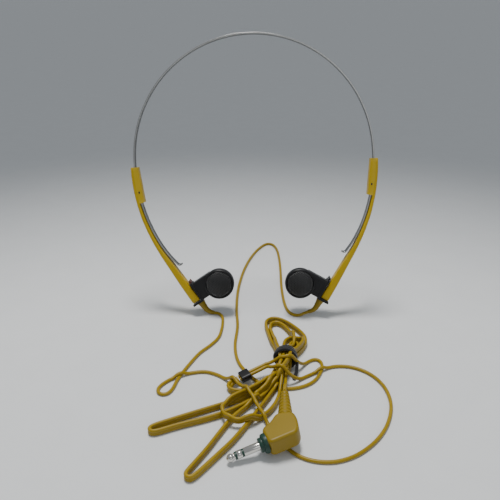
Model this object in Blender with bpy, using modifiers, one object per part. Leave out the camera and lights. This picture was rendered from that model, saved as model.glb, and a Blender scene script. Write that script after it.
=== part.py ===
"""Sports headband earphones: a flat spring-steel band, two sliding plastic arms with
vertical earbuds, and a slim lead tied in a hank that ends in a right-angle plug.

The wearer's front is -Y. The pair stands on the ends of its strain reliefs at z = 0,
leaning back and slightly rolled, with its lead lying on the same surface.
"""
import math

import bmesh
import bpy
import numpy as np
from mathutils import Vector

# ---- Driving dimensions, metres ----
LEAN = math.radians(15.0)        # the band's plane leans back from upright
ROLL = math.radians(5.5)         # and is rolled to the viewer's left
STAND = Vector((-0.0004, 0.0032, 0.0864))   # the crown arc's centre

GAP = 0.0003                     # clearance between pieces that touch

BAND_RADIUS = 0.0655             # crown arc, centreline
BAND_DEPTH = 0.0040
BAND_THICKNESS = 0.0008
JUNCTION = math.radians(5.5)     # the crown arc stops this far above its centre
SLIDE_RADIUS = 0.0920            # arc that the arms slide along
SLIDE_TURN = math.radians(29.0)
TAIL_RADIUS = 0.0650
TAIL_LENGTH = 0.0195
CURL_RADIUS = 0.0016
CURL_TURN = math.radians(95.0)

ARM_LENGTH = 0.0840
ARM_DEPTH = 0.0060
ARM_FOOT_TURN = math.radians(31.5)
GUIDE_LENGTH = 0.0200
ARM_OFFSET = {"left": 0.0058, "right": 0.0120}   # each arm's place along the slide arc
# distance along the arm, inner face and outer face, from the line that the band follows
ARM_FACES = [
    (0.0000, 0.0007, 0.0021), (0.0200, 0.0008, 0.0025), (0.0300, 0.0012, 0.0031),
    (0.0400, 0.0012, 0.0033), (0.0500, 0.0006, 0.0031), (0.0620, -0.0009, 0.0026),
    (0.0840, -0.0024, 0.0024),
]

BUD_IN = 0.0166                  # earbud axis, inward of the arm's end and square to it
BUD_UP = 0.0014                  # and up along the arm
BUD_RADIUS = 0.0085
BUD_BORE = 0.0073
GRILLE_RADIUS = 0.0078
GRILLE_TOP = 0.0066              # middle of the dome, from the earbud's centre
GRILLE_RISE = 0.0025
PLATE_FACE = 0.0126              # mount plate, from the earbud's axis
PLATE_THICKNESS = 0.0013
NECK_HEIGHT = (-0.0025, 0.0085)
NECK_DEPTH = (-0.0034, 0.0040)
RELIEF_AXIS = 0.0152

CORD_RADIUS = 0.00085
LEAD_PLACE = (-0.0011, -0.0243, 0.0)   # the lead's points below are measured from here
TWIN_RADIUS = 0.0012             # a plain round stand-in for the two-strand trunk
HANK_HEIGHT = 0.0034             # the twin lead stands on its edge
TIE_PLACE = (0.0192, -0.0445, 0.0062)
TIE_BORE = 0.0043
TIE_RADIUS = 0.0062
TIE_WIDTH = 0.0058

PLUG_PLACE = (0.0167, -0.1023, 0.0073)
PLUG_HEADING = math.radians(22.0)
PLUG_DIP = math.radians(-11.0)   # the tip points down at the surface
PLUG_SPLAY = math.radians(-22.0)  # the lead's side of the plug opens past square
PLUG_SEAT = (0.0052, 0.0086, 0)  # middle of the relief's foot on the plug's body
PLUG_RELIEF_LENGTH = 0.0150
PLUG_FACE = 0.0070               # the body's face that the collar stands on
PLUG_HALF_DEPTH = 0.0042
SHAFT_RADIUS = 0.00175           # 3.5 mm plug
SHOULDER = 0.0100                # collar's front face, from the middle of the plug's body

FRONT = (math.radians(90.0), 0.0, 0.0)   # turns a piece's own +Z to face the viewer

# name: colour, roughness, metallic
MATERIALS = {
    "spring_steel": ((0.42, 0.42, 0.41, 1), 0.35, 1.0),
    "yellow_plastic": ((0.74, 0.55, 0.11, 1), 0.42, 0.0),
    "black_plastic": ((0.02, 0.02, 0.022, 1), 0.45, 0.0),
    "grille_metal": ((0.05, 0.05, 0.055, 1), 0.5, 0.6),
    "damper_cloth": ((0.03, 0.03, 0.03, 1), 0.95, 0.0),
    "driver_metal": ((0.45, 0.45, 0.46, 1), 0.4, 1.0),
    "diaphragm_film": ((0.72, 0.62, 0.42, 1), 0.25, 0.0),
    "copper": ((0.72, 0.35, 0.18, 1), 0.35, 1.0),
    "circuit_board": ((0.05, 0.22, 0.10, 1), 0.5, 0.0),
    "cord_pvc": ((0.76, 0.56, 0.10, 1), 0.45, 0.0),
    "elastic": ((0.02, 0.02, 0.02, 1), 0.8, 0.0),
    "nickel": ((0.72, 0.71, 0.68, 1), 0.2, 1.0),
    "insulator": ((0.02, 0.05, 0.04, 1), 0.4, 0.0),
}


# ---- Helpers ----
def clear_scene():
    for obj in list(bpy.data.objects):
        bpy.data.objects.remove(obj, do_unlink=True)


def new_collection(name):
    collection = bpy.data.collections.new(name)
    bpy.context.scene.collection.children.link(collection)
    return collection


def material(name):
    if name in bpy.data.materials:
        return bpy.data.materials[name]
    colour, roughness, metallic = MATERIALS[name]
    mat = bpy.data.materials.new(name)
    mat.use_nodes = True
    shader = mat.node_tree.nodes["Principled BSDF"]
    shader.inputs["Base Color"].default_value = colour
    shader.inputs["Roughness"].default_value = roughness
    shader.inputs["Metallic"].default_value = metallic
    mat.diffuse_color = colour
    return mat


def add_object(name, data, finish, parent=None, place=(0, 0, 0), turn=(0, 0, 0)):
    obj = bpy.data.objects.new(name, data)
    PARTS.objects.link(obj)
    obj.parent = parent
    obj.location = place
    obj.rotation_euler = turn
    data.materials.append(material(finish))
    return obj


def add_empty(name, parent=None, place=(0, 0, 0), turn=(0, 0, 0)):
    empty = bpy.data.objects.new(name, None)
    empty.empty_display_size = 0.01
    PARTS.objects.link(empty)
    empty.parent = parent
    empty.location = place
    empty.rotation_euler = turn
    return empty


def as_cutter(obj):
    obj.hide_render = True
    obj.display_type = "WIRE"
    PARTS.objects.unlink(obj)
    CUTTERS.objects.link(obj)
    return obj


def cut(obj, cutter):
    modifier = obj.modifiers.new("cut_" + cutter.name, "BOOLEAN")
    modifier.operation = "DIFFERENCE"
    modifier.solver = "EXACT"
    modifier.object = as_cutter(cutter)


def bevel(obj, width, segments=2):
    modifier = obj.modifiers.new("edges", "BEVEL")
    modifier.width = width
    modifier.segments = segments
    modifier.limit_method = "ANGLE"
    modifier.angle_limit = math.radians(40)


def smooth(mesh, angle=40.0):
    mesh.shade_smooth()
    mesh.set_sharp_from_angle(angle=math.radians(angle))


def poly_curve(name, points, cyclic=False, radii=None):
    curve = bpy.data.curves.new(name, "CURVE")
    curve.dimensions = "3D"
    spline = curve.splines.new("POLY")
    spline.points.add(len(points) - 1)
    for i, point in enumerate(points):
        spline.points[i].co = (*point, 1.0)
        if radii:
            spline.points[i].radius = radii[i]
    spline.use_cyclic_u = cyclic
    return curve


def mesh_from_curve(obj):
    """A closed mesh object in place of a curve object, so that it can be cut."""
    bpy.context.view_layer.update()
    seen = obj.evaluated_get(bpy.context.evaluated_depsgraph_get())
    mesh = bpy.data.meshes.new_from_object(seen)
    bm = bmesh.new()
    bm.from_mesh(mesh)
    bmesh.ops.remove_doubles(bm, verts=bm.verts, dist=1e-6)
    bmesh.ops.recalc_face_normals(bm, faces=bm.faces)
    bm.to_mesh(mesh)
    bm.free()
    solid = bpy.data.objects.new(obj.name + "_solid", mesh)
    PARTS.objects.link(solid)
    solid.parent = obj.parent
    solid.matrix_world = obj.matrix_world.copy()
    name = obj.name
    bpy.data.objects.remove(obj)
    solid.name = name
    return solid


def flat_piece(name, outline, half_depth, finish, parent=None, place=(0, 0, 0), turn=FRONT,
               edge=0.0):
    """An outline in its own XY plane, as thick as twice half_depth."""
    curve = poly_curve(name, [(x, y, 0.0) for x, y in outline], cyclic=True)
    curve.dimensions = "2D"
    curve.fill_mode = "BOTH"
    curve.extrude = half_depth
    obj = mesh_from_curve(add_object(name, curve, finish, parent, place, turn))
    if edge:
        bevel(obj, edge)
    return obj


def turned(name, profile, finish, parent=None, place=(0, 0, 0), turn=FRONT, ring=False, steps=24):
    """A (radius, height) profile turned about the piece's own Z."""
    mesh = bpy.data.meshes.new(name)
    edges = [(i, i + 1) for i in range(len(profile) - 1)]
    if ring:
        edges.append((len(profile) - 1, 0))
    mesh.from_pydata([(r, 0.0, h) for r, h in profile], edges, [])
    obj = add_object(name, mesh, finish, parent, place, turn)
    screw = obj.modifiers.new("turn", "SCREW")
    screw.steps = steps
    screw.render_steps = steps
    screw.use_merge_vertices = True
    screw.merge_threshold = 1e-6
    screw.use_smooth_shade = True
    return obj


def box(name, low, high, finish, parent=None, edge=0.0):
    """A box between two corners, low and high, in its parent's frame."""
    mesh = bpy.data.meshes.new(name)
    bm = bmesh.new()
    bmesh.ops.create_cube(bm, size=1.0)
    low, high = Vector(low), Vector(high)
    bmesh.ops.scale(bm, vec=high - low, verts=bm.verts)
    bmesh.ops.translate(bm, vec=(low + high) / 2, verts=bm.verts)
    bm.to_mesh(mesh)
    bm.free()
    obj = add_object(name, mesh, finish, parent)
    if edge:
        bevel(obj, edge)
    return obj


def smooth_route(points, count):
    """count points spaced evenly along a smooth curve through the given points."""
    pts = np.array(points, float)
    ends = np.vstack([2 * pts[0] - pts[1], pts, 2 * pts[-1] - pts[-2]])
    fine = []
    for i in range(1, len(ends) - 2):
        p0, p1, p2, p3 = ends[i - 1:i + 3]
        for t in np.linspace(0, 1, 12, endpoint=False):
            fine.append(0.5 * (2 * p1 + (p2 - p0) * t + (2 * p0 - 5 * p1 + 4 * p2 - p3) * t * t
                               + (3 * p1 - p0 - 3 * p2 + p3) * t ** 3))
    fine = np.array(fine + [pts[-1]])
    along = np.concatenate([[0], np.cumsum(np.linalg.norm(np.diff(fine, axis=0), axis=1))])
    wanted = np.linspace(0, along[-1], count)
    return np.column_stack([np.interp(wanted, along, fine[:, k]) for k in range(fine.shape[1])])


def tube(name, points, radius, finish, parent=None, radii=None, place=(0, 0, 0)):
    curve = poly_curve(name, [tuple(map(float, p)) for p in points], radii=radii)
    curve.bevel_depth = radius
    curve.bevel_resolution = 2
    curve.use_fill_caps = True
    return add_object(name, curve, finish, parent, place)


# ---- Headband and arms ----
def arc_from(start, heading, radius, length, side, steps):
    """Points along an arc that turns inward as it goes down; heading is from straight down."""
    x, z = start
    centre = (x - side * radius * math.cos(heading), z + radius * math.sin(heading))
    points = []
    for i in range(1, steps + 1):
        angle = heading + length / radius * i / steps
        points.append((centre[0] + side * radius * math.cos(angle),
                       centre[1] - radius * math.sin(angle)))
    return points, heading + length / radius


def slide_centre(side):
    """Centre of the arc that an arm slides along, in the band's plane."""
    reach = SLIDE_RADIUS - BAND_RADIUS
    return (-side * reach * math.cos(JUNCTION), -reach * math.sin(JUNCTION))


def band_half(side):
    """The band's centreline from just below the crown arc to its curled end."""
    start = (side * BAND_RADIUS * math.cos(JUNCTION), BAND_RADIUS * math.sin(JUNCTION))
    points, heading = arc_from(start, -JUNCTION, SLIDE_RADIUS, SLIDE_RADIUS * SLIDE_TURN, side, 10)
    tail, heading = arc_from(points[-1], heading, TAIL_RADIUS, TAIL_LENGTH, side, 4)
    curl, heading = arc_from(tail[-1], heading, CURL_RADIUS, CURL_RADIUS * CURL_TURN, side, 5)
    return points + tail + curl


def make_headband(headset):
    sweep = math.pi - 2 * JUNCTION
    crown = []
    for i in range(33):
        angle = JUNCTION + sweep * i / 32
        crown.append((BAND_RADIUS * math.cos(angle), BAND_RADIUS * math.sin(angle)))
    path = band_half(1)[::-1] + crown + band_half(-1)
    curve = poly_curve("headband", [(x, z, 0.0) for x, z in path])
    curve.extrude = BAND_DEPTH / 2
    band = mesh_from_curve(add_object("headband", curve, "spring_steel", headset, turn=FRONT))
    solidify = band.modifiers.new("gauge", "SOLIDIFY")
    solidify.thickness = BAND_THICKNESS
    solidify.offset = 0.0


def arm_heading(s):
    """The arm's lean inward from its own top, s metres along it."""
    guide_turn = GUIDE_LENGTH / SLIDE_RADIUS
    if s <= GUIDE_LENGTH:
        return s / SLIDE_RADIUS
    share = (s - GUIDE_LENGTH) / (ARM_LENGTH - GUIDE_LENGTH)
    return guide_turn + (ARM_FOOT_TURN - guide_turn) * math.sqrt(share)


def arm_line(length, side, steps=84):
    """Points and headings along the arm, from the slide arc's centre, top first."""
    x, z = SLIDE_RADIUS, 0.0
    step = ARM_LENGTH / steps
    line = [(side * x, z, arm_heading(0.0))]
    for i in range(int(round(length / step))):
        heading = arm_heading((i + 0.5) * step)
        x -= step * math.sin(heading)
        z -= step * math.cos(heading)
        line.append((side * x, z, arm_heading((i + 1) * step)))
    return line


def offset_line(line, offsets, side):
    """The line moved outward by the given offsets."""
    return [(x + side * out * math.cos(a), z - out * math.sin(a))
            for (x, z, a), out in zip(line, offsets)]


def make_arm(name, side, parent):
    line = arm_line(ARM_LENGTH, side)
    faces = smooth_route(ARM_FACES, 200)
    along = np.linspace(0, ARM_LENGTH, len(line))
    inner = np.interp(along, faces[:, 0], faces[:, 1])
    outer = np.interp(along, faces[:, 0], faces[:, 2])
    keep = list(range(0, len(line), 4))
    outline = [offset_line(line, outer, side)[i] for i in keep]
    outline += [offset_line(line, inner, side)[i] for i in reversed(keep)]
    flat_piece("arm_" + name, outline, ARM_DEPTH / 2, "yellow_plastic", parent, edge=0.0003)


def make_guide(name, side, parent):
    """The channel that holds the band against the top of the arm."""
    line = arm_line(GUIDE_LENGTH, side)[::2]
    back = [-0.0019 - 0.0005 * math.sin(math.pi * i / (len(line) - 1)) for i in range(len(line))]
    front = [BAND_THICKNESS / 2] * len(line)
    outline = offset_line(line, front, side) + offset_line(line, back, side)[::-1]
    guide = flat_piece("band_guide_" + name, outline, ARM_DEPTH / 2, "yellow_plastic", parent)
    ends = arm_line(GUIDE_LENGTH + 0.002, side)[::2]
    ends = [(x, z + 0.001, a) for x, z, a in ends]
    floor = [-BAND_THICKNESS / 2 - GAP] * len(ends)
    roof = [BAND_THICKNESS / 2 + 0.001] * len(ends)
    channel = offset_line(ends, roof, side) + offset_line(ends, floor, side)[::-1]
    cut(guide, flat_piece("channel_" + name, channel, BAND_DEPTH / 2 + GAP, "spring_steel",
                          parent))


# ---- Earbuds: +X runs outward along the neck, +Z up along the arm ----
def make_bud_shells(name, side, bud):
    edge = BUD_RADIUS
    rim = GRILLE_RADIUS + GAP
    turned("front_ring_" + name, [
        (rim, 0.0041), (edge - 0.0001, 0.0040), (edge, 0.0036), (edge, 0.0028), (0.0072, 0.0028),
        (0.0072, 0.0034), (rim, 0.0034),
    ], "black_plastic", bud, ring=True)
    dome = [(GRILLE_RADIUS * math.sin(a), GRILLE_TOP - GRILLE_RISE * math.sin(a) ** 2)
            for a in np.linspace(0, math.pi / 2, 7)]
    turned("grille_" + name, dome + [(r, h - 0.0004) for r, h in reversed(dome)],
           "grille_metal", bud)
    turned("damper_cloth_" + name, [(0, 0.0040), (0.0067, 0.0040), (0.0067, 0.0038), (0, 0.0038)],
           "damper_cloth", bud)
    outer = [(edge, 0.0025), (edge, -0.0005), (0.0080, -0.0028), (0.0066, -0.0047),
             (0.0044, -0.0058), (0, -0.0062)]
    inner = [(0, -0.0050), (0.0040, -0.0046), (0.0058, -0.0037), (0.0069, -0.0020),
             (BUD_BORE, -0.0003), (BUD_BORE, 0.0025)]
    housing = turned("rear_housing_" + name, outer + inner, "black_plastic", bud, ring=True)
    hole = turned("lead_hole_" + name, [(0, 0.004), (0.0009, 0.004), (0.0009, -0.004), (0, -0.004)],
                  "black_plastic", bud, place=(side * 0.008, 0.0012, 0.0015),
                  turn=(0, math.radians(90), 0), steps=12)
    cut(housing, hole)

    low_x, high_x = sorted((0.0, side * (PLATE_FACE - GAP)))
    neck = box("neck_" + name, (low_x, NECK_DEPTH[0], NECK_HEIGHT[0]),
               (high_x, NECK_DEPTH[1], NECK_HEIGHT[1]), "black_plastic", bud, edge=0.0008)
    core = turned("core_" + name, [
        (0, 0.02), (edge + GAP, 0.02), (edge + GAP, -0.0005), (0.0083, -0.0030), (0.0068, -0.0051),
        (0.0045, -0.0062), (0, -0.0066),
    ], "black_plastic", bud)
    cut(neck, core)
    wall = 0.0011
    low_x, high_x = sorted((side * 0.004, side * (PLATE_FACE + 0.001)))
    cut(neck, box("neck_duct_" + name, (low_x, NECK_DEPTH[0] + wall, NECK_HEIGHT[0] + wall),
                  (high_x, NECK_DEPTH[1] - wall, NECK_HEIGHT[1] - wall), "black_plastic", bud))


def make_driver(name, side, bud):
    bore = BUD_BORE - GAP
    turned("driver_frame_" + name, [
        (bore, 0.0035), (bore, 0.0014), (0.0040, 0.0006), (0.0040, 0.0010), (0.0062, 0.0018),
        (0.0062, 0.0035),
    ], "driver_metal", bud, ring=True)
    turned("diaphragm_" + name, [
        (0, 0.0034), (0.0022, 0.0031), (0.0030, 0.0025), (0.0046, 0.0032), (0.0059, 0.0025),
        (0.0059, 0.0023), (0.0046, 0.0030), (0.0030, 0.0023), (0.0022, 0.0029), (0, 0.0032),
    ], "diaphragm_film", bud)
    turned("voice_coil_" + name, [(0.0027, 0.0020), (0.0027, 0.0004), (0.0024, 0.0004),
                                  (0.0024, 0.0020)], "copper", bud, ring=True, steps=20)
    turned("magnet_" + name, [(0, 0.0016), (0.0021, 0.0016), (0.0021, -0.0004), (0, -0.0004)],
           "driver_metal", bud, steps=20)
    turned("yoke_" + name, [
        (0.0031, 0.0016), (0.0036, 0.0016), (0.0036, -0.0014), (0, -0.0014), (0, -0.0007),
        (0.0031, -0.0007),
    ], "driver_metal", bud, steps=20, ring=True)
    low_x, high_x = sorted((side * -0.0018, side * 0.0022))
    box("terminal_board_" + name, (low_x, 0.0018, -0.0014), (high_x, 0.0024, 0.0014),
        "circuit_board", bud)
    lead = [(side * x, y, z) for x, y, z in [
        (0.0120, 0.0010, 0.0012), (0.0105, 0.0012, 0.0015), (0.0085, 0.0012, 0.0015),
        (0.0068, 0.0014, 0.0015), (0.0050, 0.0022, 0.0012), (0.0032, 0.0030, 0.0006),
        (0.0014, 0.0031, 0.0002)]]
    tube("inner_lead_" + name, smooth_route(lead, 9), 0.0004, "copper", bud)


def make_mount(name, side, bud):
    face = PLATE_FACE
    back = PLATE_FACE + PLATE_THICKNESS
    outline = [
        (face, -0.0030), (0.0195, -0.0030), (0.0195, -0.0018), (back, -0.0018), (back, 0.0108),
        (face + 0.0003, 0.0112), (face, 0.0098),
    ]
    flat_piece("mount_plate_" + name, [(side * x, z) for x, z in outline][::side], 0.0038,
               "black_plastic", bud, edge=0.0002)
    path = [(RELIEF_AXIS, 0.0, -0.0033)]
    heading, step = 0.0, 0.00125
    for i in range(8):
        if i >= 4:
            heading += math.radians(11.5)
        x, y, z = path[-1]
        path.append((x - step * math.sin(heading), y, z - step * math.cos(heading)))
    radii = [1.0 - 0.5 * i / (len(path) - 1) for i in range(len(path))]
    tube("strain_relief_" + name, [(side * x, y, z) for x, y, z in path], 0.0021,
         "yellow_plastic", bud, radii=radii)


def make_side(name, side, headset):
    """One arm with its earbud, hung from the centre of the arc that it slides along."""
    x, z = slide_centre(side)
    turn = side * (ARM_OFFSET[name] / SLIDE_RADIUS - JUNCTION)
    arm = add_empty("arm_axis_" + name, headset, (x, 0, z), (0, turn, 0))
    make_arm(name, side, arm)
    make_guide(name, side, arm)
    foot_x, foot_z, heading = arm_line(ARM_LENGTH, side)[-1]
    out = Vector((side * math.cos(heading), 0, -math.sin(heading)))
    up = Vector((side * math.sin(heading), 0, math.cos(heading)))
    place = Vector((foot_x, 0, foot_z)) - BUD_IN * out + BUD_UP * up
    bud = add_empty("bud_" + name, arm, place, (0, side * heading, 0))
    make_bud_shells(name, side, bud)
    make_driver(name, side, bud)
    make_mount(name, side, bud)


# ---- The lead: points in mm from LEAD_PLACE, each the middle of the cord ----
ROUTE_LEFT = [
    (-20.6, 4.6, 1.0), (-18.2, 4.1, 0.9), (-15.9, 1.4, 0.85), (-15.1, -5, 0.85),
    (-15.2, -13, 0.85), (-16.2, -21, 0.85), (-20, -28.5, 0.85), (-24.8, -35.5, 0.85),
    (-28.3, -44, 0.85), (-31.2, -52, 0.85), (-33.2, -59, 0.85), (-34.2, -65, 0.85),
    (-36.4, -69.3, 0.85), (-40, -69.2, 0.85), (-41.4, -65.6, 0.9), (-39.2, -61, 1.4),
    (-35.3, -57, 2.6), (-31, -54.2, 2.8), (-26, -52.2, 1.5), (-20, -51.2, 0.85),
    (-14, -53.6, 1.4), (-9.8, -56.8, 3.6), (-6, -60.4, 5.0), (-2.5, -64.6, 5.8),
    (1, -70, 7.2), (5, -77, 7.4), (8.6, -84, 5.6), (11.8, -90, 2.4),
    (15.2, -96.5, 0.85), (20.8, -104.2, 0.85), (26.5, -108, 0.85), (33, -109.4, 0.85),
    (40, -108.6, 0.85), (48, -104.6, 0.85), (56.5, -96.5, 0.85), (63, -86, 0.85),
    (66.8, -73, 0.85), (66, -60.5, 0.85), (61, -50.8, 0.85), (53, -45.2, 0.85),
    (44, -44.6, 1.8), (37, -48, 3.4), (29.6, -53.2, 5.2), (22.8, -58, 7.6),
    (17.4, -58, 8.8), (13, -55.4, 8.0), (9.95, -53.8, 6.4), (6.8, -55.4, 5.65),
    (3.7, -56.95, 4.85), (0.6, -58.5, 4.1), (-2.55, -60.1, 3.3),
]
ROUTE_RIGHT = [
    (33.2, 5.0, 2.5), (30.4, 4.3, 1.7), (27.2, 3.5, 1.05), (23.8, 4.8, 0.85), (21.2, 10, 0.85),
    (19.4, 21, 0.85), (18.3, 38, 0.85), (18, 58, 0.85), (17.4, 76, 0.85), (15.8, 92, 0.85),
    (12.8, 101, 0.85), (8.6, 102.2, 0.85), (4.2, 96, 0.85), (0, 86, 0.85), (-4.2, 70, 0.85),
    (-7, 52, 0.85), (-8.5, 32, 0.85), (-8.2, 10, 0.85), (-6.6, -9, 0.85), (-6.9, -28, 0.85),
    (-4.6, -42, 0.85), (0.4, -51.5, 0.85), (6.4, -59, 0.85), (13, -62.6, 0.85),
    (20.5, -63.2, 0.85), (28, -61, 0.85), (33.6, -56, 0.85), (37, -48.4, 0.85),
(37.6, -42, 0.95), (35.2, -38.8, 2.4), (31, -41, 5.6), (26, -47, 9.0),
    (20, -51.4, 10.2), (14, -50.6, 9.0), (9.05, -52, 6.4), (5.9, -53.6, 5.65),
    (2.8, -55.15, 4.85), (-0.3, -56.7, 4.1), (-3.45, -58.3, 3.3),
]
ROUTE_TRUNK = [
    (-3.5, -59.5, 3.1), (-6.4, -61, 2.3), (-8.3, -63.4, 1.75), (-7.4, -66.2, 1.75),
    (-4.2, -67.3, 1.75), (-0.6, -66.9, 1.75), (4.4, -64.4, 2.0),
]
ROUTE_TAIL = [
    (19, -57.4, 4.6), (19, -61.5, 5.0), (18.6, -67, 6.4), (18.2, -73, 8.5), (18.1, -77.1, 9.4),
]
# middle of the bundle through the tie, and its radius as a share of the tie's bore
NECK_PATH = [
    (20, -38.4, 5.8, 0.70), (19.6, -42, 6.2, 0.92), (18.9, -47, 6.2, 0.92),
    (16.6, -52.4, 5.4, 0.66), (13.4, -57.6, 4.6, 0.50), (10.4, -62, 4.2, 0.48),
]
# outlines of the parts of the hank that lie flat, in mm from LEAD_PLACE
HANK_OUTLINES = {
    "loops": [(9.5, -6), (13.5, -1.8), (20, -5), (28, -14), (31.3, -22), (29.4, -30), (23.4, -35.4),
              (16.4, -33.4), (11, -17)],
    "fan": [(12.4, -66), (14, -73), (9.8, -81), (2, -86), (-4, -84), (-4.8, -78), (-2.6, -72.8),
            (4, -68.2)],
    "left_fold": [(-40.6, -92.2), (-26, -83.6), (-12, -76.4), (-6.8, -78), (-6.8, -84.6),
                  (-14, -87.6), (-28, -92.4), (-38.6, -97)],
    "front_fold": [(-22, -118.6), (-14, -102), (-10.2, -91.8), (-4.4, -88.4), (1.8, -91.8),
                   (-2.4, -100), (-11, -113), (-18.4, -121.8)],
}
SLIDER_LOW = (-3.0, -59.2, 3.3)      # the straight stretch that the slider runs on
SLIDER_HIGH = (9.5, -52.9, 6.4)
SLIDER_START = 0.0030


def metres(points):
    return [tuple(0.001 * value for value in point) for point in points]


def laid_tube(name, route, count, radius, lead):
    """A smooth tube along a route, resting on the surface and never below it."""
    points = smooth_route(metres(route), count)
    points[:, 2] = np.maximum(points[:, 2], radius)
    tube(name, points, radius, "cord_pvc", lead)


def make_cords(lead):
    laid_tube("cord_left", ROUTE_LEFT, 76, CORD_RADIUS, lead)
    laid_tube("cord_right", ROUTE_RIGHT, 72, CORD_RADIUS, lead)
    laid_tube("cord_trunk", ROUTE_TRUNK, 9, TWIN_RADIUS, lead)
    laid_tube("cord_tail", ROUTE_TAIL, 7, TWIN_RADIUS, lead)


def make_hank(lead):
    for name, outline in HANK_OUTLINES.items():
        closed = metres([(x, y, 0.0) for x, y in outline + outline[:1]])
        points = smooth_route(closed, 25)[:-1]
        middle = HANK_HEIGHT / 2
        flat_piece("hank_" + name, [(x, y) for x, y, _ in points], middle, "cord_pvc",
                   lead, place=(0, 0, middle), turn=(0, 0, 0), edge=0.0006)
    neck = [(0.001 * x, 0.001 * y, 0.001 * z, share) for x, y, z, share in NECK_PATH]
    path = smooth_route(neck, 10)
    tube("hank_neck", path[:, :3], TIE_BORE - GAP, "cord_pvc", lead, radii=list(path[:, 3]))
    half = TIE_WIDTH / 2
    edge = 0.0008
    turned("cord_tie", [
        (TIE_RADIUS - edge, half), (TIE_RADIUS, half - edge), (TIE_RADIUS, edge - half),
        (TIE_RADIUS - edge, -half), (TIE_BORE, -half), (TIE_BORE, half),
    ], "elastic", lead, place=TIE_PLACE, turn=(math.radians(90), 0, math.radians(-6)), ring=True)


def make_slider(lead):
    low, high = Vector(SLIDER_LOW) * 0.001, Vector(SLIDER_HIGH) * 0.001
    way = (high - low).normalized()
    tilt = -math.asin(way.z)
    place = low + SLIDER_START * way
    seat = add_empty("slider_axis", lead, place, (0, tilt, math.atan2(way.y, way.x)))
    slider = box("cord_slider", (-0.0024, -0.0030, -0.0017), (0.0024, 0.0030, 0.0017),
                 "black_plastic", seat)
    cut(slider, box("slider_channel", (-0.004, -0.0022, -0.00115), (0.004, 0.0022, 0.00115),
                    "black_plastic", seat))


def make_plug(lead):
    plug = add_empty("plug", lead, PLUG_PLACE, (0, PLUG_DIP, PLUG_HEADING))
    outline = [(-7.0, -4.5), (5.2, -4.5), (7.2, -2.2), (8.6, 2.6), (8.6, 6.9), (1.7, 9.7),
               (-1.9, 6.4), (-7.0, 4.6)]
    flat_piece("plug_body", [(0.001 * x, 0.001 * y) for x, y in outline], PLUG_HALF_DEPTH,
               "cord_pvc", plug, turn=(0, 0, 0), edge=0.0012)
    turned("plug_relief", [(0, PLUG_RELIEF_LENGTH), (0.0019, PLUG_RELIEF_LENGTH), (0.0034, 0.0),
                           (0, 0.0)], "cord_pvc",
           plug, place=PLUG_SEAT, turn=(math.radians(-90), 0, PLUG_SPLAY))
    along = (0, math.radians(-90), 0)
    foot = PLUG_FACE + GAP
    bore = SHAFT_RADIUS + GAP
    turned("plug_collar", [(bore, SHOULDER), (0.0030, SHOULDER), (0.0030, 0.0088),
                           (0.0041, 0.0084), (0.0041, foot), (bore, foot)],
           "insulator", plug, turn=along, ring=True)
    contacts = [
        ("plug_sleeve", foot, 0.0168, "nickel"),
        ("insulator_rear", 0.0171, 0.0177, "insulator"),
        ("plug_ring", 0.0180, 0.0198, "nickel"),
        ("insulator_front", 0.0201, 0.0207, "insulator"),
    ]
    for name, start, end, finish in contacts:
        turned(name, [(0, end), (SHAFT_RADIUS, end), (SHAFT_RADIUS, start), (0, start)], finish,
               plug, turn=along, steps=20)
    turned("plug_tip", [(0, 0.0243), (0.0006, 0.0243), (0.0015, 0.0232), (SHAFT_RADIUS, 0.0222),
                        (0.00115, 0.0213), (0.00115, 0.0210), (0, 0.0210)], "nickel", plug,
           turn=along, steps=20)


# ---- Build ----
clear_scene()
PARTS = new_collection("headband_earphones")
CUTTERS = new_collection("cutters")
HEADSET = add_empty("headset", None, STAND, (-LEAN, 0, 0))
PLANE = add_empty("band_plane", HEADSET, (0, 0, 0), (0, -ROLL, 0))
LEAD = add_empty("lead", None, LEAD_PLACE)
make_headband(PLANE)
make_side("left", -1, PLANE)
make_side("right", 1, PLANE)
make_cords(LEAD)
make_hank(LEAD)
make_slider(LEAD)
make_plug(LEAD)
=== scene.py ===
"""The looks of the headband earphones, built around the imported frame."""
import math
import random

import bmesh
import bpy
import numpy as np
from mathutils import Euler, Matrix, Vector


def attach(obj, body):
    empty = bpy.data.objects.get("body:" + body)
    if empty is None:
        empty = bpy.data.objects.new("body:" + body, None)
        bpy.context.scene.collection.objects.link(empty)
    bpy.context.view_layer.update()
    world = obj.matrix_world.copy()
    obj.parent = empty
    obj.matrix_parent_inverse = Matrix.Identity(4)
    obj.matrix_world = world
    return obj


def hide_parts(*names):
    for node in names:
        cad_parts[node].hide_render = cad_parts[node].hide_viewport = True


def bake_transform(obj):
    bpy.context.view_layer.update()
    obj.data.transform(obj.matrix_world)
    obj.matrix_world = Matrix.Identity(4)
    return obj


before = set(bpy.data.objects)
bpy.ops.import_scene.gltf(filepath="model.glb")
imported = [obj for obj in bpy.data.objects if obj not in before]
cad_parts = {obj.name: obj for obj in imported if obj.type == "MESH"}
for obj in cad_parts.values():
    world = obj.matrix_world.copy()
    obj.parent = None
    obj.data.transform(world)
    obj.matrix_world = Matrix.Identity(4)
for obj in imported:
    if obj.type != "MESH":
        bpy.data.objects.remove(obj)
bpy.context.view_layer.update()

# ---- Dimensions shared with the design, metres ----
LEAN = math.radians(15.0)
ROLL = math.radians(5.5)
STAND = Vector((-0.0004, 0.0032, 0.0864))
BAND_RADIUS = 0.0655
BAND_DEPTH = 0.0040
BAND_THICKNESS = 0.0008
JUNCTION = math.radians(5.5)
SLIDE_RADIUS = 0.0920
SLIDE_TURN = math.radians(29.0)
TAIL_RADIUS = 0.0650
TAIL_LENGTH = 0.0195
CURL_RADIUS = 0.0016
CURL_TURN = math.radians(95.0)
ARM_LENGTH = 0.0840
ARM_DEPTH = 0.0060
ARM_FOOT_TURN = math.radians(31.5)
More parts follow.
